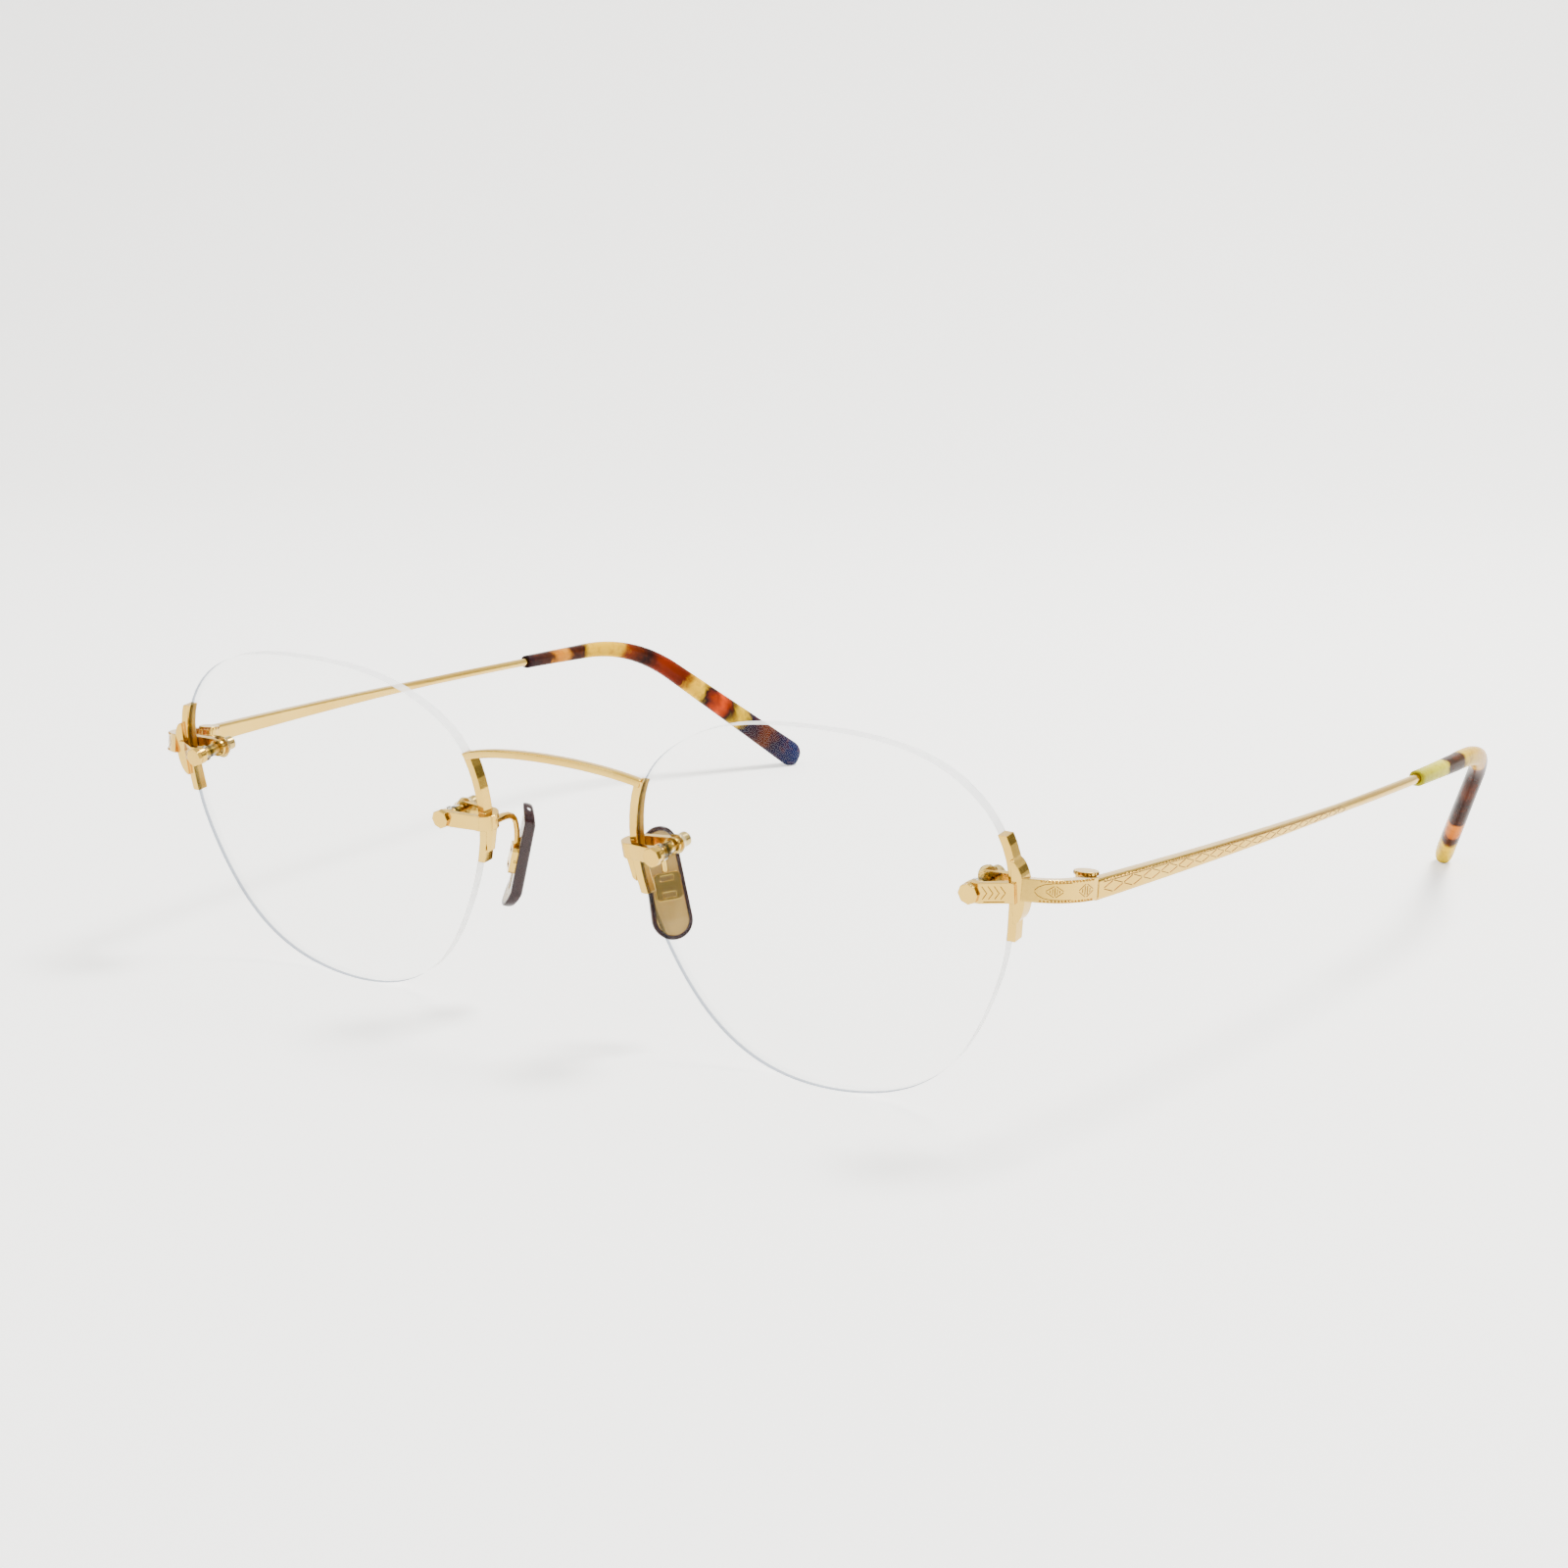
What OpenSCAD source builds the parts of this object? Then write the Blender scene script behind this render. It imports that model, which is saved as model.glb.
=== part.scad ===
// Rimless eyeglasses: two drilled lenses, each gripped by a nasal and a temporal screw mount,
// an arched bridge, engraved endpieces, hinged temples with acetate tips, and rocking nose pads.
// They stand open, on the bottoms of the lenses and the ends of the temple tips.
// +X is the wearer's left, +Y runs back along the temples, +Z is up. All sizes are in millimetres.

/* [Lenses] */
// Mean radius of the lens outline
lens_r = 22.15; // [21:0.05:23]
// How much wider than tall the outline is
lens_widen = 1.18; // [0.9:0.01:1.4]
// How much the outline narrows towards its bottom
lens_taper = 1.15; // [0.9:0.01:1.4]
// How far the outline leans outward at its top
lens_skew = 0.37; // [0.2:0.01:0.5]
// How square the shoulders are
lens_square = 0.37; // [0.2:0.01:0.5]
// How pointed the brow line is
lens_crown = 0.24; // [0.1:0.01:0.3]
// How much the temporal side is flattened behind its bar
lens_flat = 0.5; // [0.3:0.05:0.6]
// How much the upper nasal side is filled out behind its bar
lens_fill = 0.4; // [0.2:0.05:0.5]
// Thickness of a lens
lens_t = 1.4; // [1.3:0.05:1.5]
// Radius of the front curve of a lens
lens_curve = 160; // [150:1:200]
// Distance from the symmetry plane to the middle of a lens
lens_x = 34.8; // [34.4:0.1:35.2]
// Forward lean of the lenses at their top, in degrees
lens_tilt = 8; // [7:0.5:9]

/* [Screw mounts] */
// Distance of the screws from the middle of the lens
screw_u = 19.7; // [19.5:0.1:19.9]
// Height of the temporal screw above the middle of the lens
temporal_v = 5.5; // [5.2:0.1:5.8]
// Height of the nasal screw above the middle of the lens
nasal_v = 3.0; // [2.8:0.1:3.2]
// Radius of the lens screws
screw_r = 0.5; // [0.4:0.05:0.6]
// Thickness of the straps in front of and behind the lens
strap_t = 0.7; // [0.6:0.05:0.8]
// Height of the temporal straps
temporal_strap_h = 2.2; // [2:0.1:2.4]
// Height of the nasal straps
nasal_strap_h = 1.8; // [1.6:0.1:2]
// Width of the bars that hug the lens edge
bar_w = 0.95; // [0.8:0.05:1.1]
// Top and bottom of the temporal bars
temporal_bar = [0, 11.2];
// Top and bottom of the nasal bars
nasal_bar = [-2.7, 10.5];

/* [Bridge] */
// Height of the middle of the bridge above the surface it stands on
bridge_z = 33.0; // [32.6:0.1:33.4]
// How far the bridge drops from its middle to its ends
bridge_drop = 1.45; // [1.2:0.05:1.6]
// How far the middle of the bridge stands in front of its ends
bridge_bow = 1.3; // [1:0.1:1.6]
// Height and depth of the bridge's section
bridge_section = [1.0, 1.2];

/* [Temples] */
// Distance back from the lens middle to the joint between endpiece and temple
split_y = 7.4; // [7.2:0.1:7.6]
// Distance from that joint back to the hinge axis
hinge_back = 0.8; // [0.7:0.05:0.9]
// Height of the hinge
hinge_z = 26.4; // [26.2:0.1:26.6]
// Lean of the hinge axis, backwards at its top, in degrees
hinge_lean = 4; // [3:0.5:5]
// Height of the temple at the hinge
temple_h = 2.3; // [2.2:0.05:2.4]
// Width of the temple
temple_w = 1.35; // [1.2:0.05:1.5]
// Radius of the round end of the temple and of the wire core in its tip
core_r = 0.6; // [0.5:0.05:0.65]
// How far back the temple starts to bend down behind the ear
bend_y = 105; // [100:1:110]

/* [Nose pads] */
// Length of a nose pad
pad_len = 13; // [12:0.5:14]
// Width of a nose pad
pad_w = 4.7; // [4.4:0.1:5]
// Thickness of a nose pad
pad_t = 1.5; // [1.3:0.1:1.7]

/* [Hidden] */

gold = "#d8b25a";
clear = [0.9, 0.95, 1.0, 0.35];
gap = 0.02;
// The middle of the whole object's depth is the origin, so the front stands this far before it
origin_y = 69.82;

// ---- outline of a lens, as seen from the front, outward along +x and up along +y ----
outline_step = 3;
function bump(a, at, width) = exp(-pow(((a > 270 ? a - 360 : a) - at) / width, 2));
function outline_r(a) = lens_r + lens_widen * cos(2 * a) + lens_skew * sin(2 * a)
    + lens_taper * sin(3 * a) - 0.08 * cos(3 * a) - lens_square * cos(4 * a)
    + lens_crown * sin(5 * a) - 0.11 * cos(5 * a)
    - lens_flat * bump(a, 8, 11) + lens_fill * bump(a, 152, 12);
function outline_point(a) = outline_r(a) * [cos(a), sin(a)];
function outline_normal(a) =
    let (d = outline_point(a + 1) - outline_point(a - 1)) [d.y, -d.x] / norm(d);
function outline(grow) =
    [for (a = [0 : outline_step : 359]) outline_point(a) + grow * outline_normal(a)];
function sag(u, v) = (u * u + v * v) / (2 * lens_curve);

// ---- depths of the mount, forward along +z from the middle of the lens's front face ----
lens_front = -sag(screw_u - 1, temporal_v - 1);
lens_back = -sag(screw_u + 1, temporal_v + 1) - lens_t;
strap_front = 0.3;
bar_front = -1.65;
bar_back = -3.1;
strap_back = bar_back - strap_t;
strap_root = bar_front + strap_t;
head_t = 0.6;
nut_base_t = 0.8;
nut_t = 1.7;
nut_r = 0.85;
temporal_nut_r = 1.45;
nasal_nut_r = 1.15;
washer_r = 1.0;
nasal_root = -0.45;
nasal_slope = 5;
collar_r = (nasal_root - strap_back) / 2;
collar_mid = (nasal_root + strap_back) / 2;
lens_wrap = 0.6;
edge_u = outline_r(14) * cos(14);
nasal_edge_u = outline_r(173) * cos(7);

// ---- height of the lens middle that puts its lowest point on the surface ----
lens_z = -min([for (p = outline(0)) p.y * cos(lens_tilt) + sag(p.x, p.y) * sin(lens_tilt)]);

// ---- bridge ----
bridge_half = 12.3;
bridge_y = -0.35;

// ---- endpiece and hinge ----
boss_bulge = 0.95;
boss_h = 6.8;
endpiece_t = 1.25;
endpiece_h = 2.3;
endpiece_rise = 0.03;
endpiece_slope = 2.2;
function temple_x(y) = 62.35 + 17.9 * y / 100 - 8.4 * pow(y / 100, 2);
function temple_z(y) = 26.45 - 1.3 * y / 100 - 0.7 * pow(y / 100, 2);
knuckle_r = 1.1;
knuckle_low = 0.4;
knuckle_gap = 0.05;
knuckle_top = 1.1;
pivot_r = 0.45;
head_r = 1.25;
pivot_clearance = 0.05;
hinge_y = split_y + hinge_back;
hinge_x = temple_x(hinge_y) + temple_w / 2 - 2.0;
endpiece_path = [
    [59.4, 0.45 - hinge_y], [62.0, 0.9 - hinge_y],
    [63.4, 3.2 - hinge_y], [temple_x(split_y), -hinge_back - 0.03]
];

// ---- temple and its tip, which share one path ----
tip_start = 83;
tip_end = [57.8, 141.2, 0.8];
bend_from_y = 97;
bend_corner = [71.9, bend_y + 5.5, 24.6];
leg_start = 0.25;
function temple_point(y) = [temple_x(y), y, temple_z(y)];
function bezier2(a, b, c, t) = pow(1 - t, 2) * a + 2 * t * (1 - t) * b + t * t * c;
bend_to = bend_corner + (tip_end - bend_corner) * leg_start;
bend_path = [for (t = [0.1 : 0.1 : 1]) bezier2(temple_point(bend_from_y), bend_corner, bend_to, t)];
leg_path = [for (t = [0.15, 0.3, 0.45, 0.6, 0.75, 0.86, 0.93, 0.97, 0.99, 1])
    bend_to + t * (tip_end - bend_to)];
tip_path = concat([for (y = [tip_start : 3.5 : bend_from_y]) temple_point(y)], bend_path, leg_path);

// ---- nose pads, the left one: the pad faces the nose with its +y side, and is pad_len along z ----
pad_middle = [10.1, 8.35, 18.4];
pad_turn = [-12, -7.5, 48];
pad_front_curve = 17;
pad_back_curve = 22;
pad_taper = 0.7;
box_rim = -1;
box_depth = 0.9;
box_w = 3.1;
box_h = 3.2;
box_wall = 0.22;
box_z = -0.35;
pin_r = 0.14;
stud_r = 0.27;
pin_y = box_rim - 0.34;
arm_r = 0.5;
arm_end_r = 0.33;

// ---- placing ----
module sided(side) {
    translate([0, -origin_y, 0])
    if (side < 0) mirror([1, 0, 0]) children();
    else children();
}

// Children are drawn as seen from the front: outward along +x, up along +y, forward along +z
module on_lens() {
    translate([lens_x, 0, lens_z]) rotate([90 + lens_tilt, 0, 0]) rotate([0, -lens_wrap, 0]) children();
}

// Children are drawn about the hinge axis, which is their z axis
module on_hinge() {
    translate([hinge_x, hinge_y, hinge_z]) rotate([-hinge_lean, 0, 0]) children();
}

module on_pad() {
    translate(pad_middle) rotate(pad_turn) children();
}

module at_screws() {
    for (place = [[screw_u, temporal_v], [-screw_u, nasal_v]])
        translate(place) children();
}

// ---- sweeping a section along a path ----
// The section's x follows the reference direction, as far as the path lets it.
function direction(path, i) =
    let (a = path[max(i - 1, 0)], b = path[min(i + 1, len(path) - 1)]) (b - a) / norm(b - a);
function ring(path, i, section, reference) =
    let (
        t = direction(path, i),
        across = reference - (reference * t) * t,
        n = across / norm(across),
        b = cross(n, t)
    )
    [for (p = section) path[i] + p.x * n + p.y * b];

module sweep(path, sections, reference) {
    count = len(sections[0]);
    last = len(path) - 1;
    points = [for (i = [0 : last]) each ring(path, i, sections[i], reference)];
    sides = [
        for (i = [0 : last - 1], j = [0 : count - 1])
        let (k = (j + 1) % count, low = i * count, high = low + count)
        [low + j, low + k, high + k, high + j]
    ];
    start = [for (j = [count - 1 : -1 : 0]) j];
    end = [for (j = [0 : count - 1]) last * count + j];
    polyhedron(points = points, faces = concat(sides, [start, end]), convexity = 8);
}

// A rounded section: power 1 is an ellipse, and smaller powers are squarer
function soft_power(x, power) = sign(x) * pow(abs(x), power);
function oval(w, h, power = 1, count = 16) =
    [for (j = [0 : count - 1]) let (a = 360 * j / count)
        [w / 2 * soft_power(cos(a), power), h / 2 * soft_power(sin(a), power)]];

// ---- lenses ----
module lens(side) {
    color(clear)
    sided(side) on_lens()
    difference() {
        intersection() {
            translate([0, 0, -8]) linear_extrude(9) polygon(outline(0));
            translate([0, 0, -lens_curve]) sphere(r = lens_curve, $fn = 360);
        }
        translate([0, 0, -lens_curve - lens_t]) sphere(r = lens_curve, $fn = 360);
        at_screws() translate([0, 0, -8]) cylinder(r = screw_r + 0.25, h = 9, $fn = 48);
    }
}

// ---- screw mounts ----
module strap_bores() {
    at_screws() translate([0, 0, -8]) cylinder(r = screw_r + gap, h = 9, $fn = 48);
}

// The bar is a short length of a ring around the lens outline
module lens_bar(span, direction) {
    intersection() {
        translate([0, 0, bar_back]) linear_extrude(bar_front - bar_back)
            difference() {
                polygon(outline(bar_w));
                polygon(outline(gap));
            }
        translate([direction > 0 ? 10 : -30, span[0], -8]) cube([20, span[1] - span[0], 9]);
    }
}

// The strap reaches from outside the lens edge to the screw, in front of the lens and behind it.
// Its front arm slopes forward from its root to the screw, and a collar may round it off outside.
module strap(v, strap_h, edge, root, collar, slope) {
    reach = edge + bar_w;
    end = screw_u - 2;
    translate([screw_u, v, 0]) rotate([0, 0, -slope]) translate([-screw_u, 0, 0]) intersection() {
        translate([0, strap_h / 2, 0]) rotate([90, 0, 0]) linear_extrude(strap_h) {
            polygon([
                [end, strap_front], [screw_u + 0.9, strap_front], [edge + 0.2, root],
                [reach, root], [reach, strap_back], [end, strap_back], [end, bar_back - 0.08],
                [edge + bar_w / 3, bar_back - 0.08], [edge + bar_w / 3, root - strap_t + 0.12],
                [edge - 0.1, root - strap_t + 0.12], [screw_u + 1.1, strap_front - strap_t],
                [end, strap_front - strap_t]
            ]);
            if (collar) translate([reach - 0.5, collar_mid]) difference() {
                circle(r = collar_r, $fn = 48);
                translate([-2 * collar_r, -collar_r]) square([2 * collar_r, 2 * collar_r]);
            }
        }
        union() {
            translate([screw_u, 0, -8]) cylinder(r = strap_h / 2, h = 9, $fn = 48);
            translate([screw_u, -strap_h / 2, -8]) cube([9, strap_h, 9]);
        }
    }
}

// The half-oval boss stands on the outside of the temporal bar and carries the endpiece
module boss() {
    translate([edge_u + bar_w / 2, temporal_v, bar_back + 0.1])
        linear_extrude(bar_front - bar_back + 0.3)
        polygon([for (a = [-90 : 7.5 : 90]) [(boss_bulge + bar_w / 2) * cos(a), boss_h / 2 * sin(a)]]);
}

module temporal_shoe(side) {
    color(gold)
    sided(side) on_lens() difference() {
        union() {
            lens_bar(temporal_bar, 1);
            strap(temporal_v, temporal_strap_h, edge_u, strap_root, false, 0);
            boss();
        }
        strap_bores();
    }
}

// The brace is the thin leaf that stiffens the nasal strap from below
module brace() {
    reach = nasal_edge_u + bar_w;
    translate([0, nasal_v - 0.5, collar_mid - 0.4]) linear_extrude(0.8)
        polygon([
            [reach - 0.3, 0], [reach + 0.9, 0], [reach + 0.9, -nasal_strap_h / 2],
            [reach + 0.2, -3.6], [reach - 0.3, -3.9]
        ]);
}

module nasal_shoe(side) {
    color(gold)
    sided(side) on_lens() difference() {
        union() {
            lens_bar(nasal_bar, -1);
            mirror([1, 0, 0]) strap(nasal_v, nasal_strap_h, nasal_edge_u, nasal_root, true, nasal_slope);
            mirror([1, 0, 0]) brace();
        }
        strap_bores();
    }
}

module lens_screw() {
    shaft = strap_front - strap_back + nut_t + 0.15;
    translate([0, 0, strap_front]) cylinder(r = 1.12, h = head_t, $fn = 8);
    translate([0, 0, strap_front - shaft]) cylinder(r = screw_r, h = shaft, $fn = 48);
}

// The nut is a round cone that ends in a short barrel
module lens_nut(base_r) {
    translate([0, 0, strap_back - nut_t]) difference() {
        union() {
            cylinder(r = nut_r, h = nut_t, $fn = 48);
            translate([0, 0, nut_t - nut_base_t])
                cylinder(r1 = nut_r, r2 = base_r, h = nut_base_t, $fn = 48);
        }
        translate([0, 0, -1]) cylinder(r = screw_r + gap, h = nut_t + 2, $fn = 48);
    }
}

module washer(bottom, top) {
    translate([0, 0, bottom]) difference() {
        cylinder(r = washer_r, h = top - bottom, $fn = 48);
        translate([0, 0, -1]) cylinder(r = screw_r + gap, h = 4, $fn = 48);
    }
}

module lens_screws() {
    color(gold)
    for (side = [1, -1]) sided(side) on_lens() at_screws() lens_screw();
}

module lens_nuts() {
    color(gold)
    for (side = [1, -1]) sided(side) on_lens() {
        translate([screw_u, temporal_v]) lens_nut(temporal_nut_r);
        translate([-screw_u, nasal_v]) lens_nut(nasal_nut_r);
    }
}

module lens_washers() {
    color(clear)
    for (side = [1, -1]) sided(side) on_lens() at_screws() {
        washer(lens_front + gap, strap_front - strap_t);
        washer(bar_back - 0.08, lens_back - gap);
    }
}

// A sleeve in each lens bore keeps the screw off the edge of the bore
module lens_bushings() {
    color(clear)
    for (side = [1, -1]) sided(side) on_lens() at_screws()
        translate([0, 0, lens_back]) difference() {
            cylinder(r = screw_r + 0.25 - gap, h = lens_front - lens_back, $fn = 48);
            translate([0, 0, -1]) cylinder(r = screw_r + gap, h = 4, $fn = 48);
        }
}

// ---- bridge ----
module bridge() {
    steps = 24;
    path = [for (i = [0 : steps]) let (u = 2 * i / steps - 1)
        [
            u * bridge_half,
            bridge_y + bridge_bow * (0.6 * u * u + 0.4 * pow(u, 4)) - origin_y,
            bridge_z - bridge_drop * (0.7 * u * u + 0.3 * pow(u, 4))
        ]];
    section = oval(bridge_section[0], bridge_section[1], 0.5);
    color(gold) sweep(path, [for (p = path) section], [0, 0, 1]);
}

// ---- endpiece ----
function endpiece_mid(t) = pow(1 - t, 3) * endpiece_path[0] + 3 * t * pow(1 - t, 2) * endpiece_path[1]
    + 3 * t * t * (1 - t) * endpiece_path[2] + pow(t, 3) * endpiece_path[3];
function endpiece_side(t, off) =
    let (d = endpiece_mid(t + 0.01) - endpiece_mid(t - 0.01)) endpiece_mid(t) + off * [d.y, -d.x] / norm(d);

module barrel(from, to) {
    translate([0, 0, from]) cylinder(r = knuckle_r, h = to - from, $fn = 48);
}

module pivot_bore(extra) {
    translate([0, 0, -4]) cylinder(r = pivot_r + extra, h = 8, $fn = 48);
}

module endpiece(side) {
    color(gold)
    sided(side) on_hinge() difference() {
        union() {
            translate([-hinge_x, 0, endpiece_rise]) rotate([-endpiece_slope, 0, 0])
                translate([0, 0, -endpiece_h / 2]) linear_extrude(endpiece_h)
                polygon(concat(
                    [for (t = [0 : 0.0625 : 1]) endpiece_side(t, endpiece_t / 2)],
                    [for (t = [1 : -0.0625 : 0]) endpiece_side(t, -endpiece_t / 2)]
                ));
            for (ends = [[-knuckle_top, -knuckle_low], [knuckle_low, knuckle_top]]) {
                barrel(ends[0], ends[1]);
                translate([0, -1.2, ends[0]]) cube([1.05, 1.17, ends[1] - ends[0]]);
            }
        }
        // Room around the middle knuckle, so that it can turn
        translate([0, 0, -knuckle_low]) cylinder(r = knuckle_r + 0.1, h = 2 * knuckle_low, $fn = 48);
        // Room above and below the knuckles, for the head of the screw
        for (z = [-4, knuckle_top]) translate([0, 0, z])
            cylinder(r = head_r + 0.1, h = 4 - knuckle_top, $fn = 48);
        pivot_bore(gap);
    }
}

module hinge_screw() {
    translate([0, 0, -knuckle_top]) cylinder(r = pivot_r, h = 2 * knuckle_top, $fn = 48);
    translate([0, 0, knuckle_top]) cylinder(r = head_r, h = 0.4, $fn = 48);
}

module hinge_screws() {
    color(gold)
    for (side = [1, -1]) sided(side) on_hinge() hinge_screw();
}

// ---- temples ----
function ramp(y, from, to) = min(1, max(0, (y - from) / (to - from)));
function temple_section(y) =
    let (t = ramp(y, hinge_y, 60))
    oval(temple_w, 2 * core_r + (temple_h - 2 * core_r) * pow(1 - t, 1.5), 0.35 + 0.65 * pow(t, 3));

module temple(side) {
    ys = concat([split_y - 0.5], [for (y = [10 : 5 : tip_start]) y]);
    straight = [for (y = ys) temple_point(y)];
    core = [for (i = [0 : len(tip_path) - 9]) tip_path[i]];
    thin = oval(2 * core_r, 2 * core_r);
    color(gold)
    sided(side) difference() {
        union() {
            sweep(concat(straight, core),
                concat([for (y = ys) temple_section(y)], [for (p = core) thin]), [1, 0, 0]);
            on_hinge() barrel(-knuckle_low + knuckle_gap, knuckle_low - knuckle_gap);
            on_hinge() translate([0, 0, -knuckle_low + knuckle_gap])
                cube([1.2, knuckle_r, 2 * (knuckle_low - knuckle_gap)]);
        }
        // The front end is cut square to the hinge, and the inside is clear of the outer knuckles
        on_hinge() translate([-4, -4 - hinge_back + knuckle_gap, -4]) cube([9, 4, 8]);
        on_hinge() for (z = [-4, knuckle_low - knuckle_gap]) translate([0, 0, z])
            cylinder(r = head_r + 0.1, h = 4 - knuckle_low + knuckle_gap, $fn = 48);
        on_hinge() pivot_bore(pivot_clearance);
    }
}

// ---- temple tips ----
tip_count = len(tip_path);
// The end is round: the last few sections shrink like the end of an egg
function tip_section(i, grow) =
    let (
        t = i / (tip_count - 1),
        left = norm(tip_path[tip_count - 1] - tip_path[i]),
        round = left > 2.4 ? 1 : sqrt(max(0.02, 1 - pow(1 - left / 2.4, 2)))
    )
    oval((2.0 + 0.7 * t) * round + grow, (1.95 + 2.5 * pow(t, 1.3)) * round + grow, 0.8);

module temple_tip(side) {
    core_count = len(tip_path) - 8;
    color("#7a3d12")
    sided(side) difference() {
        sweep(tip_path, [for (i = [0 : tip_count - 1]) tip_section(i, 0)], [1, 0, 0]);
        sweep(
            concat(
                [tip_path[0] + 0.2 * (tip_path[0] - tip_path[1])],
                [for (i = [1 : core_count - 1]) tip_path[i]]
            ),
            [for (i = [0 : core_count - 1]) oval(2 * core_r + 2 * gap, 2 * core_r + 2 * gap)],
            [1, 0, 0]
        );
    }
}

// ---- nose pads and their boxes ----
function turn_x(p, a) = [p.x, p.y * cos(a) - p.z * sin(a), p.y * sin(a) + p.z * cos(a)];
function turn_y(p, a) = [p.x * cos(a) + p.z * sin(a), p.y, p.z * cos(a) - p.x * sin(a)];
function turn_z(p, a) = [p.x * cos(a) - p.y * sin(a), p.x * sin(a) + p.y * cos(a), p.z];
function from_pad(p) = pad_middle + turn_z(turn_y(turn_x(p, pad_turn.x), pad_turn.y), pad_turn.z);

// The pad's outline is an egg: round ends, the lower one wider by the taper
module pad_outline() {
    low = pad_w / 2;
    high = (pad_w - pad_taper) / 2;
    low_z = low - pad_len / 2;
    high_z = pad_len / 2 - high;
    tilt = asin((low - high) / (high_z - low_z));
    polygon(concat(
        [for (a = [tilt : 7.5 : 180 - tilt]) [high * cos(a), high_z + high * sin(a)]],
        [[-high * cos(tilt), high_z + high * sin(tilt)]],
        [for (a = [180 - tilt : 7.5 : 360 + tilt]) [low * cos(a), low_z + low * sin(a)]],
        [[low * cos(tilt), low_z + low * sin(tilt)]]
    ));
}

module pad_arm(side) {
    start = [
        [9.6, 2.0, 24.0], [9.95, 3.1, 24.0], [10.3, 4.4, 23.95], [10.5, 5.6, 23.85], [10.6, 6.4, 23.6],
        [10.65, 6.95, 23.2], [10.65, 7.2, 22.6], [10.6, 7.3, 21.8]
    ];
    path = concat(start, [
        from_pad([0, pin_y - 0.2, 2.1]),
        from_pad([0, pin_y - 0.08, box_z + box_h / 2 - 0.15])
    ]);
    color(gold)
    sided(side) sweep(
        path,
        [for (i = [0 : len(path) - 1]) let (r = i < 3 ? arm_r : max(arm_end_r, arm_r - 0.05 * (i - 2)))
            oval(2 * r, 2 * r, 1, 12)],
        [1, 0, 0]
    );
}

module pad_box(side) {
    color(gold)
    sided(side) on_pad() translate([0, box_rim, box_z]) difference() {
        rotate([90, 0, 0]) linear_extrude(box_depth) intersection() {
            square([box_w, box_h], center = true);
            circle(r = 2.0, $fn = 48);
        }
        translate([0, gap, 0]) rotate([90, 0, 0]) linear_extrude(box_depth - box_wall)
            square([box_w - 2 * box_wall, box_h - 2 * box_wall], center = true);
        for (z = [-0.95, 0.95]) translate([0, -box_depth, z]) cube([1.5, 2, 0.55], center = true);
        translate([0, pin_y - box_rim, 0]) rotate([0, 90, 0])
            cylinder(r = pin_r + gap, h = 2 * box_w, center = true, $fn = 32);
    }
}

module pad_pins() {
    color(gold)
    for (side = [1, -1]) sided(side) on_pad() translate([0, pin_y, box_z]) rotate([0, 90, 0])
        cylinder(r = pin_r, h = box_w, center = true, $fn = 32);
}

// The stud's barrel turns on the pin, and its foot is moulded into the pad
module pad_stud(side) {
    barrel_w = box_w - 2 * box_wall - 0.4;
    color(gold)
    sided(side) on_pad() translate([0, 0, box_z]) difference() {
        union() {
            translate([0, pin_y, 0]) rotate([0, 90, 0])
                cylinder(r = stud_r, h = barrel_w, center = true, $fn = 48);
            translate([-barrel_w / 2, pin_y, -stud_r]) cube([barrel_w, -0.6 - pin_y, 2 * stud_r]);
        }
        translate([0, pin_y, 0]) rotate([0, 90, 0])
            cylinder(r = pin_r + 0.03, h = 2 * box_w, center = true, $fn = 32);
    }
}

module nose_pad(side) {
    color([0.62, 0.5, 0.32, 0.7])
    sided(side) on_pad() difference() {
        intersection() {
            translate([0, 5, 0]) rotate([90, 0, 0]) linear_extrude(10) pad_outline();
            translate([0, pad_t / 2 - pad_front_curve, 0]) rotate([0, 90, 0])
                cylinder(r = pad_front_curve, h = 2 * pad_w, center = true, $fn = 180);
        }
        translate([0, -pad_t / 2 - pad_back_curve, 0]) rotate([0, 90, 0])
            cylinder(r = pad_back_curve, h = 2 * pad_w, center = true, $fn = 180);
    }
}

lens(1);  // lens_left
lens(-1);  // lens_right
bridge();
nasal_shoe(1);  // nasal_shoe_left
nasal_shoe(-1);  // nasal_shoe_right
temporal_shoe(1);  // temporal_shoe_left
temporal_shoe(-1);  // temporal_shoe_right
endpiece(1);  // endpiece_left
endpiece(-1);  // endpiece_right
lens_screws();
lens_nuts();
lens_washers();
lens_bushings();
hinge_screws();
pad_arm(1);  // pad_arm_left
pad_arm(-1);  // pad_arm_right
pad_box(1);  // pad_box_left
pad_box(-1);  // pad_box_right
pad_pins();
pad_stud(1);  // pad_stud_left
pad_stud(-1);  // pad_stud_right
nose_pad(1);  // nose_pad_left
nose_pad(-1);  // nose_pad_right
temple(1);  // temple_left
temple(-1);  // temple_right
temple_tip(1);  // temple_tip_left
temple_tip(-1);  // temple_tip_right
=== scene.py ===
import bpy, bmesh, math
from mathutils import Vector, Matrix


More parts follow.
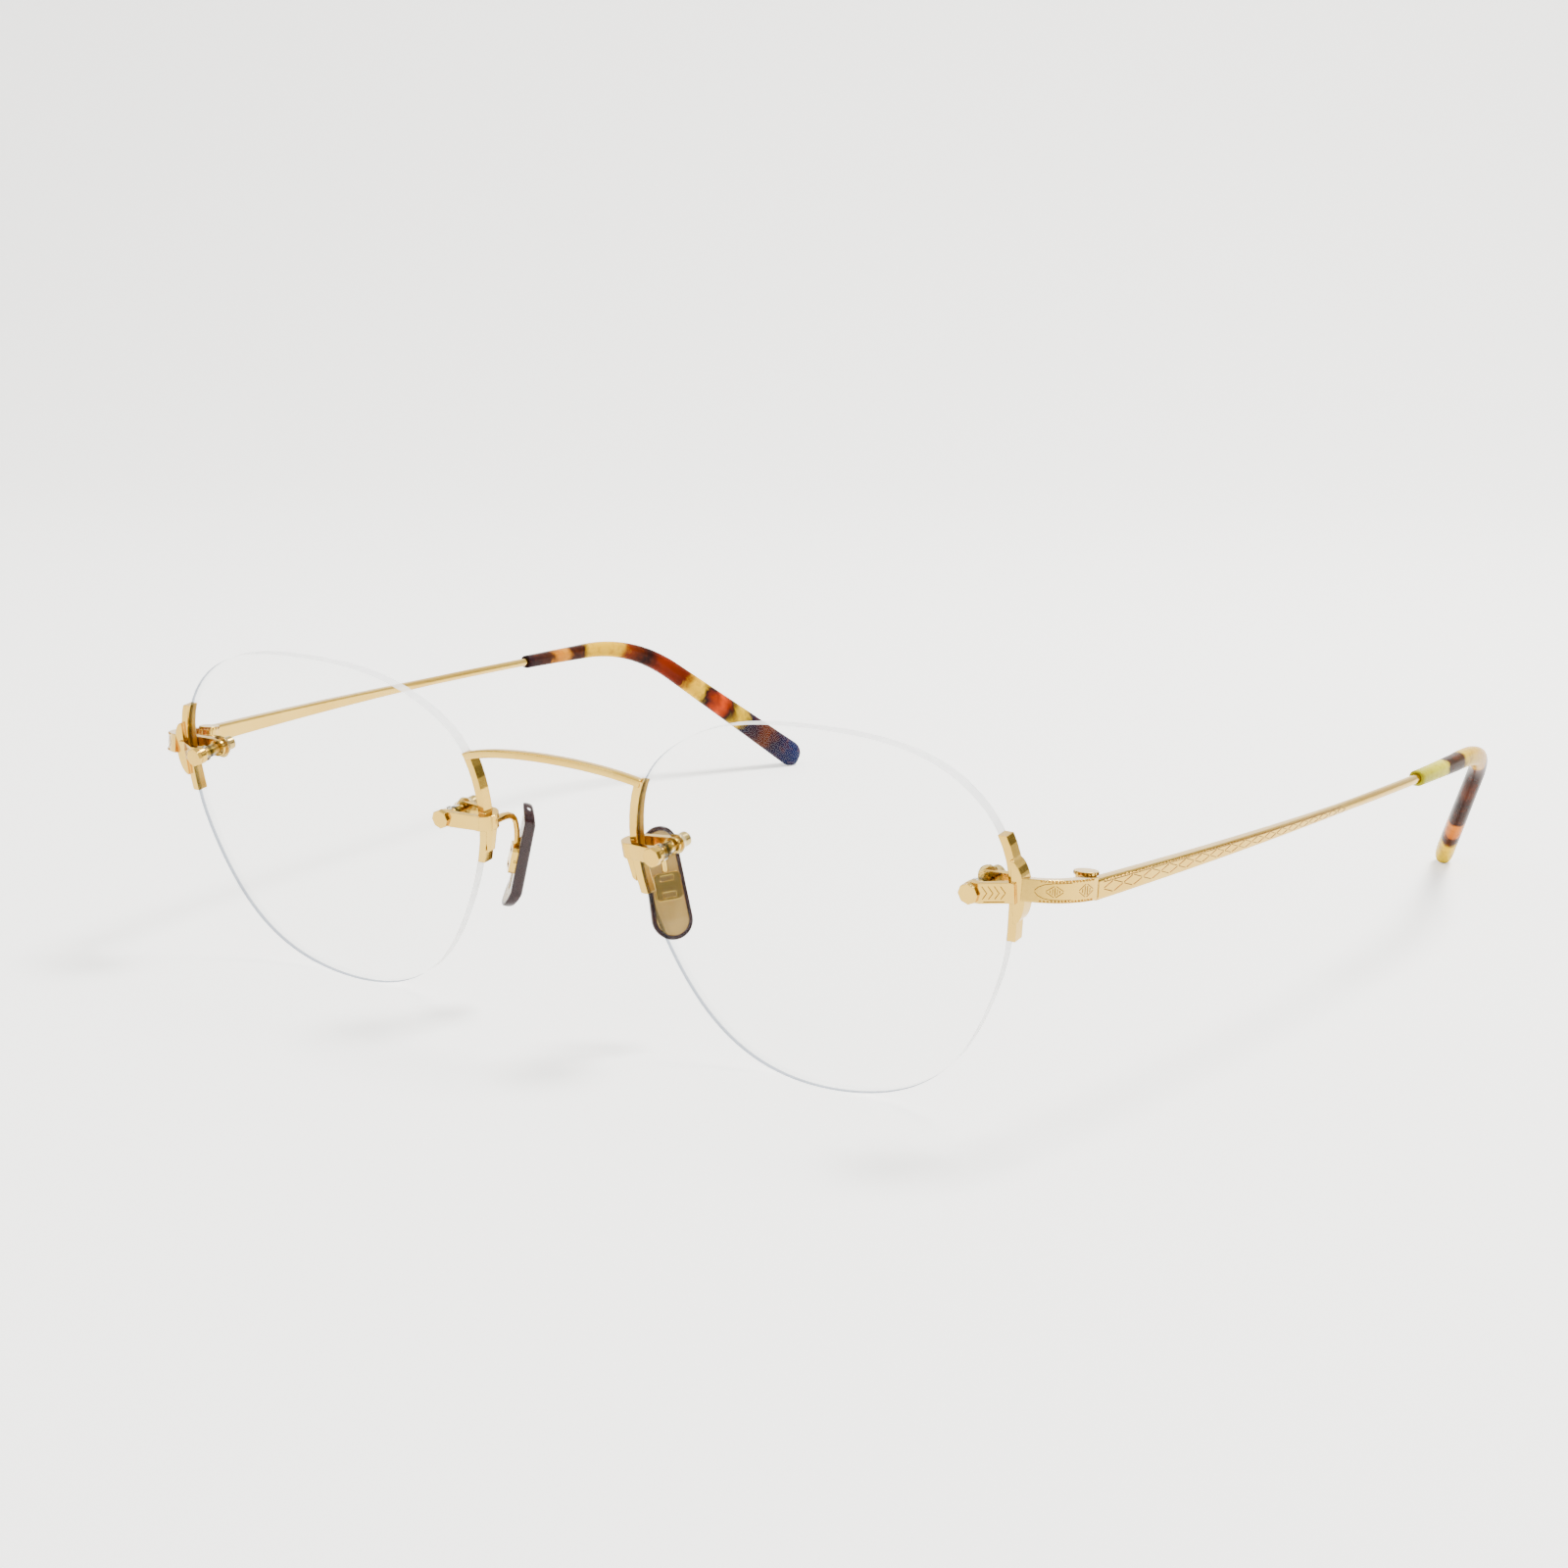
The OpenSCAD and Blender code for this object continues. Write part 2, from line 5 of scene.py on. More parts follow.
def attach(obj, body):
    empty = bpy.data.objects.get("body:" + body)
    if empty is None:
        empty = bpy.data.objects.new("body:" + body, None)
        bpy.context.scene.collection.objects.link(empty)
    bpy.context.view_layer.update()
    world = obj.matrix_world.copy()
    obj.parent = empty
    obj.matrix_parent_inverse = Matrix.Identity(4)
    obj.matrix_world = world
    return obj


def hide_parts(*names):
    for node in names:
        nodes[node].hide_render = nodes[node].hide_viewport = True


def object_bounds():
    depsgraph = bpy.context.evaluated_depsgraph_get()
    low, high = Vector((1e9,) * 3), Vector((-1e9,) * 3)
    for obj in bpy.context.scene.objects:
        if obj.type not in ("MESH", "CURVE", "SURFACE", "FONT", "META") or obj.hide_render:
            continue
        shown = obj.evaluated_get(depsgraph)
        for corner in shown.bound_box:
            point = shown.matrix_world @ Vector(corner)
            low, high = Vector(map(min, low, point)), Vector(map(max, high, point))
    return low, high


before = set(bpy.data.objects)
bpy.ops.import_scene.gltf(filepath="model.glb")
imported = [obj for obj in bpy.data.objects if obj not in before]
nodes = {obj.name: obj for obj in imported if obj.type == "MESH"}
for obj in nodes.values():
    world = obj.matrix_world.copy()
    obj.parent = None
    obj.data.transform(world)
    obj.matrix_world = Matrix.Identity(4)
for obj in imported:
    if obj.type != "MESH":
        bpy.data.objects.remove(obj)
cad_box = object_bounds()
MM = 0.001
ORIGIN_Y = 69.82          # the lens middle stands this far, in mm, before the origin

# ------------------------------------------------------------------ camera
CAM = Vector((161.241, -198.598 - ORIGIN_Y, 88.083)) * MM
YAW, PITCH, ROLL = 0.578631, 0.223335, 0.010118
look = Vector((-math.sin(YAW) * math.cos(PITCH), math.cos(YAW) * math.cos(PITCH), -math.sin(PITCH)))
right = Vector((math.cos(YAW), math.sin(YAW), 0))
up = right.cross(look)
cam_right = right * math.cos(ROLL) + up * math.sin(ROLL)
cam_up = up * math.cos(ROLL) - right * math.sin(ROLL)
cam_data = bpy.data.cameras.new("camera")
cam_data.lens, cam_data.sensor_width = 53.75, 36
cam_data.clip_start, cam_data.clip_end = 0.01, 20
cam = bpy.data.objects.new("camera", cam_data)
cam.matrix_world = Matrix.Translation(CAM) @ Matrix((cam_right, cam_up, -look)).transposed().to_4x4()
bpy.context.scene.collection.objects.link(cam)
bpy.context.scene.camera = cam


# ------------------------------------------------------------------ helpers
def link(obj):
    bpy.context.scene.collection.objects.link(obj)
    return obj


def mesh_object(name, verts, faces, smooth=True, attrs=None):
    me = bpy.data.meshes.new(name)
    me.from_pydata([tuple(v) for v in verts], [], faces)
    me.validate()
    for key, values in (attrs or {}).items():
        a = me.attributes.new(key, "FLOAT", "POINT")
        a.data.foreach_set("value", values)
    bm = bmesh.new()
    bm.from_mesh(me)
    bmesh.ops.recalc_face_normals(bm, faces=bm.faces)
    bm.to_mesh(me)
    bm.free()
    if smooth:
        for p in me.polygons:
            p.use_smooth = True
    return link(bpy.data.objects.new(name, me))


def sharp_smooth(obj, degrees=32):
    me = obj.data
    for p in me.polygons:
        p.use_smooth = True
    me.set_sharp_from_angle(angle=math.radians(degrees))


def bevelled(obj, width, segments=3, degrees=32):
    mod = obj.modifiers.new("bevel", "BEVEL")
    mod.width, mod.segments = width * MM, segments
    mod.limit_method, mod.angle_limit = "ANGLE", math.radians(degrees)
    mod.harden_normals = False
    return mod


def loft(name, rings, attrs=None):
    """A closed, smooth solid through rings of points in mm, in the row's frame."""
    n = len(rings[0])
    verts = [Vector(p) * MM for ring in rings for p in ring]
    faces = []
    for i in range(len(rings) - 1):
        for j in range(n):
            k = (j + 1) % n
            faces.append((i * n + j, i * n + k, (i + 1) * n + k, (i + 1) * n + j))
    faces.append(tuple(range(n))[::-1])
    faces.append(tuple((len(rings) - 1) * n + j for j in range(n)))
    return mesh_object(name, verts, faces, attrs=attrs)


def inside_box(p):
    """A point in mm, kept inside the row's box, so that a tip rests on the floor and not in it."""
    return tuple(min(max(v, low / MM), high / MM) for v, low, high in zip(p, cad_box[0], cad_box[1]))


def shader(name):
    mat = bpy.data.materials.new(name)
    mat.use_nodes = True
    tree = mat.node_tree
    tree.nodes.clear()
    out = tree.nodes.new("ShaderNodeOutputMaterial")
    return mat, tree, out


def add(tree, kind, **props):
    n = tree.nodes.new(kind)
    for k, v in props.items():
        if k in n.inputs.keys():
            n.inputs[k].default_value = v
        else:
            setattr(n, k, v)
    return n


def math_node(tree, op, a, b=None, c=None):
    n = tree.nodes.new("ShaderNodeMath")
    n.operation = op
    for i, v in enumerate((a, b, c)):
        if v is None:
            continue
        if isinstance(v, (int, float)):
            n.inputs[i].default_value = v
        else:
            tree.links.new(v, n.inputs[i])
    return n.outputs[0]


def srgb(r, g, b):
    """A colour given as 0 to 255 values, as Blender's linear colour."""
    def linear(c):
        return (c / 255 / 12.92) if c <= 10 else ((c / 255 + 0.055) / 1.055) ** 2.4
    return (linear(r), linear(g), linear(b), 1.0)


# ------------------------------------------------------------------ materials
def gold_material(name, tint=(222, 184, 88), rough=0.13, scratch=1.0, edge_r=0.00016):
    mat, tree, out = shader(name)
    p = add(tree, "ShaderNodeBsdfPrincipled", Metallic=1.0)
    tree.links.new(p.outputs[0], out.inputs[0])
    coords = add(tree, "ShaderNodeTexCoord")
    big = add(tree, "ShaderNodeTexNoise", Scale=90.0, Detail=3.0)
    tree.links.new(coords.outputs["Object"], big.inputs["Vector"])
    ramp = tree.nodes.new("ShaderNodeValToRGB")
    a = srgb(*tint)
    b = srgb(tint[0] - 8, tint[1] - 12, tint[2] - 16)
    ramp.color_ramp.elements[0].position, ramp.color_ramp.elements[0].color = 0.35, b
    ramp.color_ramp.elements[1].position, ramp.color_ramp.elements[1].color = 0.65, a
    tree.links.new(big.outputs[0], ramp.inputs[0])
    tree.links.new(ramp.outputs[0], p.inputs["Base Color"])
    fine = add(tree, "ShaderNodeTexNoise", Scale=2600.0, Detail=4.0)
    tree.links.new(coords.outputs["Object"], fine.inputs["Vector"])
    r = tree.nodes.new("ShaderNodeMapRange")
    r.inputs["To Min"].default_value, r.inputs["To Max"].default_value = rough - 0.05, rough + 0.08
    tree.links.new(fine.outputs[0], r.inputs["Value"])
    tree.links.new(r.outputs[0], p.inputs["Roughness"])
    edge = add(tree, "ShaderNodeBevel", Radius=edge_r)
    edge.samples = 4
    bump = add(tree, "ShaderNodeBump", Strength=0.06 * scratch, Distance=0.00002)
    tree.links.new(edge.outputs[0], bump.inputs["Normal"])
    tree.links.new(fine.outputs[0], bump.inputs["Height"])
    tree.links.new(bump.outputs[0], p.inputs["Normal"])
    return mat


def clear_material():
    """The lens faces: nearly invisible, with a thin coating's reflection from the outside only."""
    mat, tree, out = shader("lens_face")
    geo = add(tree, "ShaderNodeNewGeometry")
    coords = add(tree, "ShaderNodeTexCoord")
    smear = add(tree, "ShaderNodeTexNoise", Scale=120.0, Detail=2.0)
    tree.links.new(coords.outputs["Object"], smear.inputs["Vector"])
    gloss = add(tree, "ShaderNodeBsdfGlossy", Roughness=0.02)
    clear = add(tree, "ShaderNodeBsdfTransparent", Color=(0.992, 0.994, 0.990, 1))
    amount = math_node(tree, "MULTIPLY_ADD", smear.outputs[0], 0.01, 0.006)
    outside = math_node(tree, "SUBTRACT", 1.0, geo.outputs["Backfacing"])
    amount = math_node(tree, "MULTIPLY", amount, outside)
    mix = tree.nodes.new("ShaderNodeMixShader")
    tree.links.new(amount, mix.inputs[0])
    tree.links.new(clear.outputs[0], mix.inputs[1])
    tree.links.new(gloss.outputs[0], mix.inputs[2])
    tree.links.new(mix.outputs[0], out.inputs[0])
    return mat


def rim_material():
    """The polished edge: white where it faces the light, and a painted grey shade line over the front of
    its thickness, where it is seen through the lens.
    """
    mat, tree, out = shader("lens_rim")
    geo = add(tree, "ShaderNodeNewGeometry")
    coords = add(tree, "ShaderNodeTexCoord")
    marks = add(tree, "ShaderNodeTexNoise", Scale=140.0, Detail=3.0, Roughness=0.6)
    tree.links.new(coords.outputs["Object"], marks.inputs["Vector"])
    shine = add(tree, "ShaderNodeBsdfPrincipled", Roughness=0.1, IOR=1.5)
    shine.inputs["Base Color"].default_value = (0.95, 0.95, 0.95, 1)
    through = add(tree, "ShaderNodeBsdfTransparent", Color=(0.86, 0.87, 0.87, 1))
    # Painted shade: seen from inside the lens, the edge is tinted dark grey over the front part of its
    # thickness, in place of the darkening that refraction gives.
    dark = tree.nodes.new("ShaderNodeBsdfTransparent")
    depth = add(tree, "ShaderNodeAttribute", attribute_name="depth")
    line = tree.nodes.new("ShaderNodeValToRGB")
    line.color_ramp.elements[0].position, line.color_ramp.elements[0].color = 0.3, (0.30, 0.33, 0.38, 1)
    line.color_ramp.elements[1].position, line.color_ramp.elements[1].color = 0.5, (0.90, 0.91, 0.91, 1)
    tree.links.new(depth.outputs["Fac"], line.inputs[0])
    tree.links.new(line.outputs[0], dark.inputs[0])
    amount = tree.nodes.new("ShaderNodeMapRange")
    for key, value in (("From Min", 0.35), ("From Max", 0.65), ("To Min", 0.35), ("To Max", 0.9)):
        amount.inputs[key].default_value = value
    tree.links.new(marks.outputs[0], amount.inputs["Value"])
    front = tree.nodes.new("ShaderNodeMixShader")
    tree.links.new(amount.outputs[0], front.inputs[0])
    tree.links.new(through.outputs[0], front.inputs[1])
    tree.links.new(shine.outputs[0], front.inputs[2])
    side = tree.nodes.new("ShaderNodeMixShader")
    tree.links.new(geo.outputs["Backfacing"], side.inputs[0])
    tree.links.new(front.outputs[0], side.inputs[1])
    tree.links.new(dark.outputs[0], side.inputs[2])
    path = add(tree, "ShaderNodeLightPath")
    soft = add(tree, "ShaderNodeBsdfTransparent", Color=(0.82, 0.83, 0.84, 1))
    last = tree.nodes.new("ShaderNodeMixShader")
    tree.links.new(path.outputs["Is Shadow Ray"], last.inputs[0])
    tree.links.new(side.outputs[0], last.inputs[1])
    tree.links.new(soft.outputs[0], last.inputs[2])
    tree.links.new(last.outputs[0], out.inputs[0])
    return mat


def tortoise_material(name, stops):
    """Acetate: colour bands along the tip, blotched and bent by noise. stops are (place 0..1, colour)."""
    mat, tree, out = shader(name)
    p = add(tree, "ShaderNodeBsdfPrincipled", Roughness=0.2, IOR=1.16)
    p.inputs["Specular IOR Level"].default_value = 0.12
    p.inputs["Coat Weight"].default_value = 0.06
    p.inputs["Coat Roughness"].default_value = 0.04
    p.inputs["Subsurface Weight"].default_value = 0.12
    p.inputs["Subsurface Radius"].default_value = (1.0, 0.5, 0.2)
    p.inputs["Subsurface Scale"].default_value = 0.0012
    tree.links.new(p.outputs[0], out.inputs[0])
    coords = add(tree, "ShaderNodeTexCoord")
    along = add(tree, "ShaderNodeAttribute", attribute_name="along")
    blot = add(tree, "ShaderNodeTexNoise", Scale=330.0, Detail=4.0, Roughness=0.55, Distortion=0.6)
    tree.links.new(coords.outputs["Object"], blot.inputs["Vector"])
    shift = math_node(tree, "MULTIPLY_ADD", blot.outputs[0], 0.07, -0.035)
    place = math_node(tree, "ADD", along.outputs["Fac"], shift)
    ramp = tree.nodes.new("ShaderNodeValToRGB")
    elements = ramp.color_ramp.elements
    while len(elements) > 1:
        elements.remove(elements[-1])
    elements[0].position, elements[0].color = stops[0][0], srgb(*stops[0][1])
    for s, c in stops[1:]:
        e = elements.new(s)
        e.color = srgb(*c)
    tree.links.new(place, ramp.inputs[0])
    # Smaller dark clouds inside the pale bands and amber ones inside the dark bands
    fine = add(tree, "ShaderNodeTexNoise", Scale=800.0, Detail=5.0, Roughness=0.6)
    tree.links.new(coords.outputs["Object"], fine.inputs["Vector"])
    cloud = tree.nodes.new("ShaderNodeMapRange")
    for k, v in (("From Min", 0.5), ("From Max", 0.72), ("To Min", 0.0), ("To Max", 0.4)):
        cloud.inputs[k].default_value = v
    tree.links.new(fine.outputs[0], cloud.inputs["Value"])
    mix = add(tree, "ShaderNodeMix", data_type="RGBA")
    mix.inputs[7].default_value = srgb(120, 62, 22)
    tree.links.new(cloud.outputs[0], mix.inputs[0])
    tree.links.new(ramp.outputs[0], mix.inputs[6])
    deep = add(tree, "ShaderNodeGamma", Gamma=1.3)
    tree.links.new(mix.outputs[2], deep.inputs[0])
    tree.links.new(deep.outputs[0], p.inputs["Base Color"])
    return mat


def plastic_material(name, face, rim, attribute):
    """Translucent plastic that is darker towards its edge, where more of it is looked through; this
    darkening of the tinted plastic is painted shade in the base colour.
    """
    mat, tree, out = shader(name)
    p = add(tree, "ShaderNodeBsdfPrincipled", Roughness=0.12, IOR=1.45)
    p.inputs["Transmission Weight"].default_value = 0.35
    p.inputs["Coat Weight"].default_value = 0.1
    p.inputs["Specular IOR Level"].default_value = 0.2
    p.inputs["Subsurface Weight"].default_value = 0.1
    p.inputs["Subsurface Scale"].default_value = 0.001
    at = add(tree, "ShaderNodeAttribute", attribute_name=attribute)
    coords = add(tree, "ShaderNodeTexCoord")
    n = add(tree, "ShaderNodeTexNoise", Scale=500.0, Detail=3.0)
    tree.links.new(coords.outputs["Object"], n.inputs["Vector"])
    place = math_node(tree, "MULTIPLY_ADD", n.outputs[0], 0.12, -0.06)
    place = math_node(tree, "ADD", at.outputs["Fac"], place)
    # Painted shade: the base colour darkens from the face colour to the edge colour along the edge
    # attribute.
    ramp = tree.nodes.new("ShaderNodeValToRGB")
    ramp.color_ramp.elements[0].position, ramp.color_ramp.elements[0].color = 0.42, srgb(*face)
    ramp.color_ramp.elements[1].position, ramp.color_ramp.elements[1].color = 0.66, srgb(*rim)
    tree.links.new(place, ramp.inputs[0])
    tree.links.new(ramp.outputs[0], p.inputs["Base Color"])
    tree.links.new(p.outputs[0], out.inputs[0])
    return mat


gold = gold_material("gold_polished")
# Painted shade: a dark brown gold on the engraved strokes, standing in for the shade at the bottom of the
# grooves.
gold_line_painted_shade = gold_material("gold_engraved_painted_shade", tint=(112, 72, 22), rough=0.34, scratch=2.0)
# Painted shade: a slightly darker gold on the milgrain grains and the hatched temple border, so that their
# small relief reads as shaded.
gold_bead_painted_shade = gold_material("gold_bead_painted_shade", tint=(190, 148, 64), rough=0.22, scratch=1.0)
gold_green = gold_material("gold_nut", tint=(196, 172, 104), rough=0.2)


def washer_material():
    """Clear soft plastic."""
    mat, tree, out = shader("washer_clear")
    p = add(tree, "ShaderNodeBsdfPrincipled", Roughness=0.1)
    p.inputs["Base Color"].default_value = (0.97, 0.96, 0.90, 1)
    p.inputs["Transmission Weight"].default_value = 1.0
    p.inputs["IOR"].default_value = 1.12
    tree.links.new(p.outputs[0], out.inputs[0])
    return mat


washer_mat = washer_material()


def give(obj, mat):
    obj.data.materials.clear()
    obj.data.materials.append(mat)


# ------------------------------------------------------------------ lenses, metal and washers
TILT, WRAP = math.radians(8), math.radians(0.6)
LENS_MID = Vector((34.8, 0, 21.14))
LENS_ROT = Matrix.Rotation(math.radians(90) + TILT, 3, "X") @ Matrix.Rotation(-WRAP, 3, "Y")
LENS_CURVE, LENS_T = 160.0, 1.4
FACE_COS = 0.7            # a lens polygon nearer to the axis than this belongs to a face, not to the rim
face_mat, rim_mat = clear_material(), rim_material()


def from_lens(p, sign=1):
    """From the lens's own frame (outward, up, forward) to the row's frame."""
    q = LENS_MID + LENS_ROT @ Vector(p)
    return Vector((sign * q.x, q.y - ORIGIN_Y, q.z))


def dress_lens(side, sign):
    """Slot 0 is the two faces, shaded as true spheres, and slot 1 is the flat-cut rim."""
    me = nodes["lens_" + side].data
    me.materials.clear()
    me.materials.append(face_mat)
    me.materials.append(rim_mat)
    axis = (from_lens((0, 0, 1), sign) - from_lens((0, 0, 0), sign)).normalized()
    middle = from_lens((0, 0, -LENS_CURVE), sign) * MM
    normals = [Vector((0, 0, 1))] * len(me.loops)
    for poly in me.polygons:
        facing = poly.normal.dot(axis)
        poly.use_smooth = True
        is_face = abs(facing) > FACE_COS
        poly.material_index = 0 if is_face else 1
        for i in poly.loop_indices:
            away = (me.vertices[me.loops[i].vertex_index].co - middle).normalized()
            normals[i] = away * (1 if facing > 0 else -1) if is_face else poly.normal.copy()
    me.normals_split_custom_set(normals)
    depth = me.attributes.new("depth", "FLOAT", "POINT")
    for vert, item in zip(me.vertices, depth.data):
        p = vert.co / MM
        q = LENS_ROT.transposed() @ (Vector((sign * p.x, p.y + ORIGIN_Y, p.z)) - LENS_MID)
        front = -(q.x * q.x + q.y * q.y) / (2 * LENS_CURVE)
        item.value = min(1, max(0, (front - q.z) / LENS_T))


dress_lens("left", 1)
dress_lens("right", -1)

SMOOTH_BELOW = 30         # degrees between faces: edges under this are shaded smooth
EDGE_ROUND = 0.16         # mm, on the mounts and endpieces


def dress_node(name, obj):
    """Metal and washers. The lenses have their own function, and tips and pads are replaced further on."""
    if name in ("lens_left", "lens_right") or name.startswith(("nose_pad", "temple_tip")):
        return
    if name in ("lens_washers", "lens_bushings"):
        give(obj, washer_mat)
    elif name == "lens_nuts":
        give(obj, gold_green)
    else:
        give(obj, gold)
    sharp_smooth(obj, SMOOTH_BELOW)
    if name.startswith(("temporal_shoe", "nasal_shoe", "endpiece")):
        bevelled(obj, EDGE_ROUND)


for node_name, node in nodes.items():
    dress_node(node_name, node)


# ------------------------------------------------------------------ temples
def temple_x(y):
    return 62.35 + 17.9 * y / 100 - 8.4 * (y / 100) ** 2


def temple_z(y):
    return 26.45 - 1.3 * y / 100 - 0.7 * (y / 100) ** 2


def temple_point(y):
    """The middle of the temple or tip, y mm behind the lens middle, before the tip's bend."""
    return Vector((temple_x(y), y, temple_z(y)))


TIP_START, BEND_Y, BEND_FROM = 83.0, 105.0, 97.0
TIP_END = Vector((57.8, 141.2, 0.8))
CORNER = Vector((71.9, BEND_Y + 5.5, 24.6))
BEND_TO = CORNER + (TIP_END - CORNER) * 0.25
TIP_BORE_R, TIP_ROUND = 0.62, 2.4


def tip_path():
    pts = [temple_point(TIP_START + (BEND_FROM - TIP_START) * i / 14) for i in range(15)]
    a, b, c = temple_point(BEND_FROM), CORNER, BEND_TO
    for i in range(1, 25):
        t = i / 24
        pts.append((1 - t) ** 2 * a + 2 * t * (1 - t) * b + t * t * c)
    for i in range(1, 61):
        pts.append(BEND_TO + (TIP_END - BEND_TO) * (i / 60))
    return pts


def frames(pts, ref):
    out = []
    for i in range(len(pts)):
        t = (pts[min(i + 1, len(pts) - 1)] - pts[max(i - 1, 0)]).normalized()
        n = (ref - ref.dot(t) * t).normalized()
        out.append((n, n.cross(t)))
    return out


def superellipse(w, h, power, count):
    pts = []
    for j in range(count):
        a = 2 * math.pi * j / count
        c, s = math.cos(a), math.sin(a)
        pts.append((w / 2 * math.copysign(abs(c) ** power, c), h / 2 * math.copysign(abs(s) ** power, s)))
    return pts


NEAR = [(0.0, (170, 166, 40)), (0.10, (200, 194, 70)), (0.125, (206, 196, 80)), (0.14, (70, 52, 40)),
        (0.225, (84, 60, 40)), (0.245, (205, 176, 60)), (0.42, (196, 154, 56)), (0.445, (92, 50, 26)),
        (0.50, (52, 32, 28)), (0.60, (90, 48, 24)), (0.66, (50, 32, 30)), (0.755, (70, 40, 24)),
        (0.775, (206, 134, 34)), (0.825, (190, 116, 30)), (0.845, (62, 36, 20)), (0.865, (80, 48, 20)),
        (0.885, (226, 190, 30)), (0.975, (218, 194, 40)), (0.99, (120, 80, 30))]
FAR = [(0.0, (54, 38, 44)), (0.085, (80, 50, 34)), (0.105, (190, 130, 40)), (0.14, (196, 140, 46)),
       (0.165, (74, 42, 28)), (0.21, (66, 36, 24)), (0.235, (210, 172, 32)), (0.345, (214, 176, 38)),
       (0.375, (120, 56, 24)), (0.44, (52, 34, 32)), (0.50, (130, 52, 26)), (0.575, (104, 44, 24)),
       (0.60, (216, 176, 34)), (0.635, (220, 184, 40)), (0.66, (50, 34, 40)), (0.70, (196, 84, 30)),
       (0.745, (56, 36, 36)), (0.775, (214, 182, 40)), (0.80, (44, 40, 62)), (0.87, (100, 60, 42)),
       (0.905, (56, 46, 62)), (0.97, (46, 54, 92))]


def tip(side, sign, stops):
    pts = tip_path()
    total = sum((pts[i + 1] - pts[i]).length for i in range(len(pts) - 1))
    axes = frames(pts, Vector((1, 0, 0)))
    rings, along, done = [], [], 0.0
    count = 32
    body_power = 0.8
    start_t = (pts[1] - pts[0]).normalized()

    def ring(center, n, b, w, h, power, s):
        points = [center + x * n + y * b for x, y in superellipse(w, h, power, count)]
        rings.append([inside_box((sign * q.x, q.y - ORIGIN_Y, q.z)) for q in points])
        along.extend([s] * count)

    def size(s):
        t = s / total
        return 2.0 + 0.7 * t, 1.95 + 2.5 * t ** 1.3

    # The mouth, from the bottom of its bore out to the full section, as (how far in, width, height, power)
    w0, h0 = size(0)
    bore = 2 * TIP_BORE_R
    mouth = [(0.5, bore, bore, 1), (0.04, bore, bore, 1), (0.0, bore + 0.12, bore + 0.12, 1),
             (0.0, 0.91 * w0, 0.91 * h0, body_power), (0.06, 0.964 * w0, 0.964 * h0, body_power),
             (0.2, w0, h0, body_power)]
    for inset, w, h, power in mouth:
        ring(pts[0] + start_t * inset, *axes[0], w, h, power, 0.0)
    for i in range(1, len(pts)):
        done += (pts[i] - pts[i - 1]).length
        left = total - done
        if left < 0.02:
            continue
        k = 1.0 if left > TIP_ROUND else math.sqrt(max(0.0, 1 - (1 - left / TIP_ROUND) ** 2))
        w, h = size(done)
        ring(pts[i], *axes[i], w * k, h * k, body_power, done / total)
    obj = loft("tip_" + side, rings, {"along": along})
    give(obj, tortoise_material("tortoise_" + side, stops))
    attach(obj, side + "_temple")
    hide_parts("temple_tip_" + side)
    return obj


tip("left", 1, NEAR)
tip("right", -1, FAR)


# ------------------------------------------------------------------ engraving
HINGE = Vector((62.44, 8.2, 26.4))
HINGE_LEAN, ENDPIECE_SLOPE, ENDPIECE_RISE = math.radians(-4), math.radians(-2.2), 0.03
ENDPIECE_T, ENDPIECE_LONG = 1.25, 8.8
SPLIT_Y, TEMPLE_W, TEMPLE_H, CORE = 7.4, 1.35, 2.3, 1.2
HEAD_R, NUT_MEAN_R = 1.25, 1.15
STRAP_V = 5.5             # height of the temporal strap and its screw over the lens middle
ENDPIECE_PATH = [Vector((59.4, 0.45)), Vector((62.0, 0.9)), Vector((63.4, 3.2)),
                 Vector((temple_x(SPLIT_Y), 7.37))]


def to_row(p, sign):
    return Vector((sign * p.x, p.y - ORIGIN_Y, p.z))


def on_endpiece(a, b):
    """a runs from the boss to the hinge and b up, both in mm, on the outer face of the endpiece."""
    def mid(t):
        u = 1 - t
        c = (u ** 3, 3 * t * u * u, 3 * t * t * u, t ** 3)
        return sum((c[i] * ENDPIECE_PATH[i] for i in range(4)), Vector((0, 0)))
    t = a / ENDPIECE_LONG
    d = (mid(t + 0.01) - mid(t - 0.01)).normalized()
    out = Vector((d.y, -d.x, 0))
    m = mid(t)
    p = Vector((m.x - HINGE.x, m.y - HINGE.y, b)) + out * ENDPIECE_T / 2
    slope, lean = Matrix.Rotation(ENDPIECE_SLOPE, 3, "X"), Matrix.Rotation(HINGE_LEAN, 3, "X")
    return HINGE + lean @ (slope @ p + Vector((0, 0, ENDPIECE_RISE))), lean @ (slope @ out)


def on_temple(a, b):
    """a is the place along the temple and b the share of its half height, -1 to 1, on the outer face."""
    s = min(1, max(0, (a - 8.2) / 51.8))
    power = 0.35 + 0.65 * s ** 3
    h = CORE + (TEMPLE_H - CORE) * (1 - s) ** 1.5
    t = (temple_point(a + 0.1) - temple_point(a - 0.1)).normalized()
    n = (Vector((1, 0, 0)) - t.x * t).normalized()
    up_face = n.cross(t)
    if up_face.z < 0:
        up_face = -up_face
    depth = TEMPLE_W / 2 * (1 - min(0.999, abs(b)) ** (2 / power)) ** (power / 2)
    return temple_point(a) + n * depth + up_face * (b * h / 2), n


def on_strap(a, b):
    """The front face of the temporal strap, in the lens's own outward and up millimetres."""
    flat_to, root_at, top, root = 20.6, 23.18, 0.3, -0.95
    slope = (root - top) / (root_at - flat_to)
    w = top + slope * max(0, a - flat_to)
    n = Vector((-slope if a > flat_to else 0, 0, 1)).normalized()
    return LENS_MID + LENS_ROT @ Vector((a, b, w)), LENS_ROT @ n


